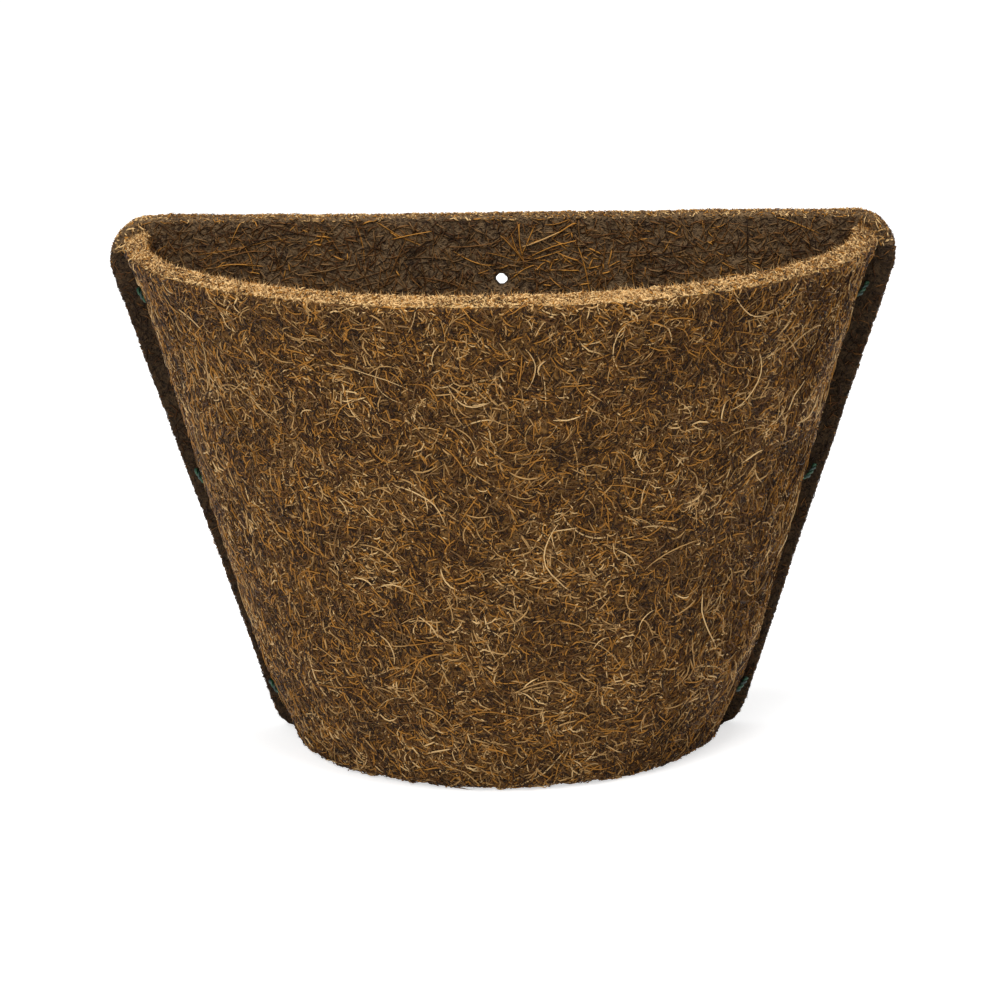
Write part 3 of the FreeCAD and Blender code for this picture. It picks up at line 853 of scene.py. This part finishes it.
def base_stitch(side):
    """The same for a tie across the seam along the base."""
    x, foot = side * BASE_X, foot_z / MM
    loop = [(x, POT_HOLE_Y, foot + ABOVE_POT_FLOOR), (x, POT_HOLE_Y, foot + UNDER_BASE),
            (x, GROOVE_Y, foot + UNDER_BASE), (x, GROOVE_Y, foot + BASE_HOLE), (x, PANEL_FACE_Y, foot + BASE_HOLE)]
    return loop, [(side, -1, 0.5), (-side, -1, 0.3)]


stitches = {}
for side_name, side in (("left", -1), ("right", 1)):
    for level, height, wall_across in SIDE_LEVELS:
        stitches["tie_%s_%s" % (side_name, level)] = side_stitch(side, height, wall_across)
    stitches["tie_base_%s" % side_name] = base_stitch(side)
print(len(stitches), "ties")

# %% Lay the twine
CORNER_REACH = 1.5


def rounded(places):
    """Control points that keep a quadratic spline near its corners, as tight twine is."""
    points = [places[0]]
    for before, corner, after in zip(places, places[1:], places[2:]):
        points += [corner + (before - corner).normalized() * CORNER_REACH, corner,
                   corner + (after - corner).normalized() * CORNER_REACH]
    return points + [places[-1]]


def twine(name, splines, fray):
    """Twisted twine along some lines, each open or closed, as a piece of the object."""
    curve = bpy.data.curves.new(name, "CURVE")
    curve.dimensions = "3D"
    for places, closed in splines:
        spline = curve.splines.new("NURBS")
        spline.points.add(len(places) - 1)
        for point, place in zip(spline.points, places):
            point.co = (*(place * MM), 1)
        spline.order_u = 3
        spline.use_endpoint_u = not closed
        spline.use_cyclic_u = closed
    piece = grow(new_object(name + "_line", curve), twisted_twine, {"Fray": fray}, name)
    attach(piece, "root")
    return piece


KNOT_SIZE = 0.62
KNOT_DEPTH = 1.6
KNOT_POINTS = 18
TAIL_PLACES = ((2.6, 0.0), (5, -0.7), (7, -2.2))    # how far along a tail, and how far it sags there
TAIL_FRAY = 0.35
for node, (loop, tails) in stitches.items():
    loop = [Vector(place) for place in loop]
    knot = (loop[0] + loop[-1]) / 2
    trefoil = [knot + KNOT_SIZE * Vector((math.sin(t) + 2 * math.sin(2 * t), KNOT_DEPTH * math.sin(3 * t),
                                          math.cos(t) - 2 * math.cos(2 * t)))
               for t in (2 * math.pi * step / KNOT_POINTS for step in range(KNOT_POINTS))]
    loop_piece = twine(node + "_twine", [(rounded([knot, *loop, knot]), False), (trefoil, True)], 0.0)
    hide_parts(node)
    ends = []
    for tail in tails:
        along = Vector(tail).normalized()
        ends.append(([knot] + [knot + far * along + Vector((0, 0, sag)) for far, sag in TAIL_PLACES], False))
    tail_piece = twine(node + "_tails", ends, TAIL_FRAY)
    print(node, triangles(loop_piece) + triangles(tail_piece), "triangles")

# %% [markdown]
# ## Floor, light and camera
# The photograph is a cut-out on white, lit softly from above and in front. The floor is pale and keeps a soft shadow.

# %% Floor
FLOOR_GLOW = 0.6
FLOOR_REACH = 30.0


def seen_by_camera(tree):
    """1 where the camera sees a surface, also in a mirror or through glass, and 0 where it only gives light."""
    path = add(tree, "ShaderNodeLightPath").outputs
    mirrored = add(tree, MATH, {0: path["Is Glossy Ray"], 1: path["Is Transmission Ray"]}, operation="MAXIMUM")
    return add(tree, MATH, {0: path["Is Camera Ray"], 1: mirrored}, operation="MAXIMUM")


floor_material, floor_shader = new_material("pale_floor", {"Base Color": (0.8, 0.8, 0.8, 1), "Roughness": 0.9})
floor_tree = floor_material.node_tree
glow = add(floor_tree, "ShaderNodeEmission", {"Color": (1, 1, 1, 1), "Strength": FLOOR_GLOW})
lit = add(floor_tree, "ShaderNodeAddShader", {0: floor_shader, 1: glow})
shown = add(floor_tree, "ShaderNodeMixShader", {"Fac": seen_by_camera(floor_tree), 1: floor_shader, 2: lit})
floor_tree.links.new(shown.outputs[0], floor_tree.nodes["Material Output"].inputs["Surface"])
floor_mesh = bpy.data.meshes.new("floor")
floor_mesh.from_pydata([(x * FLOOR_REACH, y * FLOOR_REACH, foot_z) for x, y in ((-1, -1), (1, -1), (1, 1), (-1, 1))],
                       [], [(0, 1, 2, 3)])
floor_mesh.materials.append(floor_material)
floor = new_object("floor", floor_mesh)

# %% Light
ROOM_LIGHT = 0.5
world = bpy.data.worlds.new("soft_room")
world.use_nodes = True
bpy.context.scene.world = world
room = world.node_tree
sky = room.nodes["Background"]
sky.inputs["Color"].default_value = (1, 1, 1, 1)
strength = add(room, "ShaderNodeMapRange", {"Value": seen_by_camera(room), "To Min": ROOM_LIGHT, "To Max": 1.0})
room.links.new(strength.outputs[0], sky.inputs["Strength"])

# Two square soft boxes that point at the planter's middle: place and size in metres, and power in watts
LAMPS = {"key": ((-0.5, -1.5, 1.1), 0.8, 12), "top": ((0.1, -0.6, 1.6), 0.6, 24)}
middle = (cad_box[0] + cad_box[1]) / 2
for name, (place, size, power) in LAMPS.items():
    light = bpy.data.lights.new(name, "AREA")
    light.size = size
    light.energy = power
    lamp = new_object(name, light)
    lamp.location = place
    lamp.rotation_mode = "QUATERNION"
    lamp.rotation_quaternion = (middle - Vector(place)).to_track_quat("-Z", "Y")
    print("lamp", name, "at", place)

# %% Camera
CAMERA_AZIMUTH = math.radians(2.37)
CAMERA_ELEVATION = math.radians(13.67)
CAMERA_ROLL = math.radians(-0.97)
CAMERA_DISTANCE = 1587 * MM
CAMERA_LENS = 147.1
CAMERA_TARGET = Vector((-2.3 * MM, 0, foot_z + 89.8 * MM))
towards = Vector((math.sin(CAMERA_AZIMUTH) * math.cos(CAMERA_ELEVATION),
                  -math.cos(CAMERA_AZIMUTH) * math.cos(CAMERA_ELEVATION), math.sin(CAMERA_ELEVATION)))
camera = new_object("camera", bpy.data.cameras.new("camera"))
camera.data.lens = CAMERA_LENS
camera.location = CAMERA_TARGET + towards * CAMERA_DISTANCE
camera.rotation_mode = "QUATERNION"
camera.rotation_quaternion = (-towards).to_track_quat("-Z", "Y") @ Quaternion((0, 0, 1), CAMERA_ROLL)
bpy.context.scene.camera = camera
bpy.context.scene.view_settings.view_transform = "Standard"
print("camera at", camera.location)
